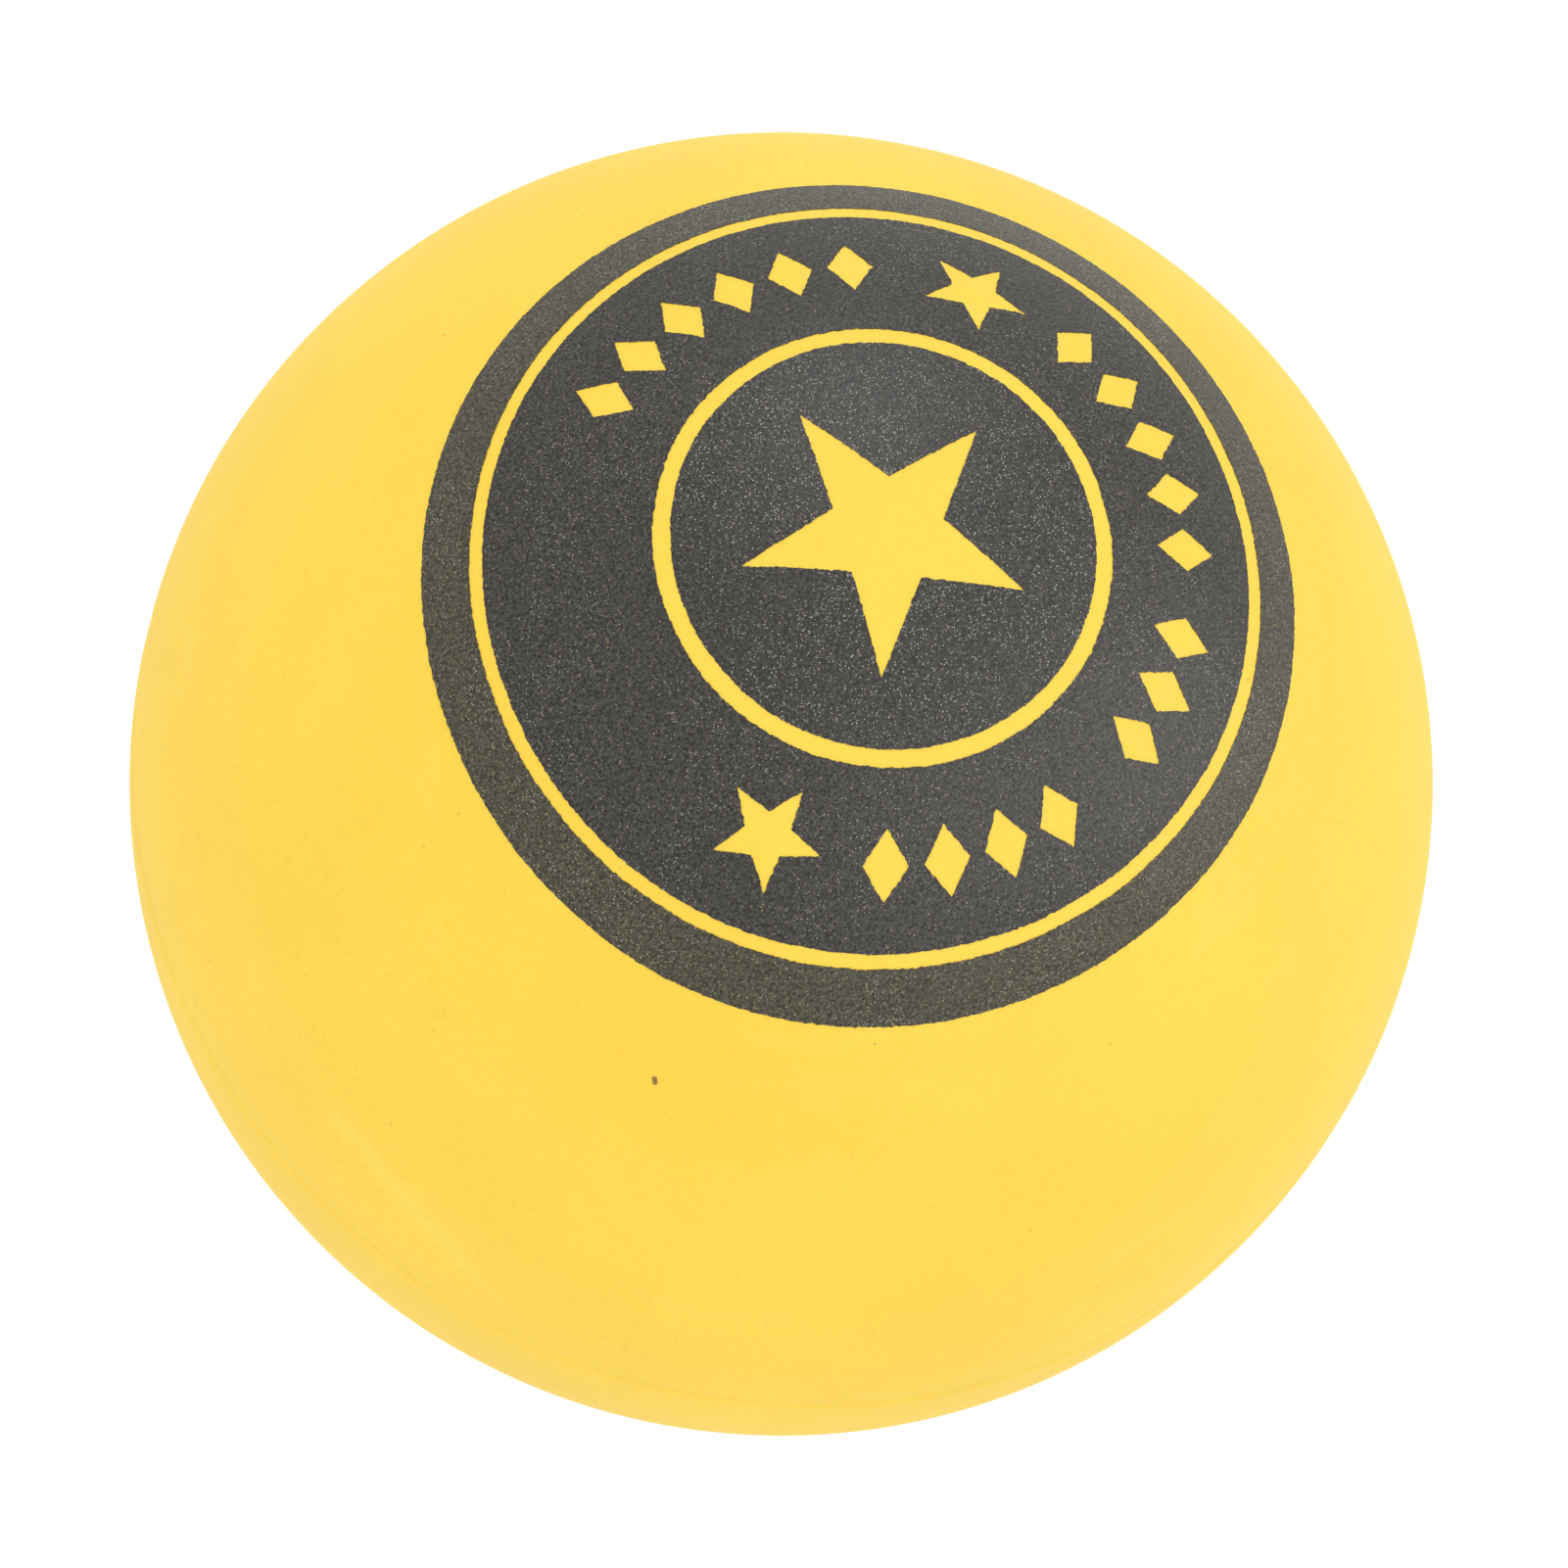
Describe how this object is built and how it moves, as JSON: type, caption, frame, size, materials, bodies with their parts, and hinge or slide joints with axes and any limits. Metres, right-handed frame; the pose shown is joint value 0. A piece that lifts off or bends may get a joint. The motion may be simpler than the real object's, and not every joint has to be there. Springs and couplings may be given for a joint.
{
  "type": "rubber play ball",
  "caption": "Small hollow rubber playground ball, moulded as cemented half shells, with a round dark print of rings, stars and lozenges stamped on one side.",
  "frame": {"origin": "centre of the ball", "axes": "+Z is the moulding axis, through the middle of the print; the seam lies in the XY plane; one tip of the centre star points along +Y"},
  "size_m": [0.06, 0.06, 0.06],
  "materials": {
    "shell_rubber": "smooth moulded rubber, warm yellow, satin",
    "rubber_cement": "cured rubber cement, dull brownish yellow",
    "print_ink": "flexible dark grey stamping ink, satin with a fine sparkling grain"
  },
  "bodies": {
    "root": {"printed_half_shell": "shell_rubber", "plain_half_shell": "shell_rubber", "seam_cement": "rubber_cement", "ink_centre_disc": "print_ink", "ink_middle_band": "print_ink", "ink_border_ring": "print_ink"}
  },
  "joints": []
}
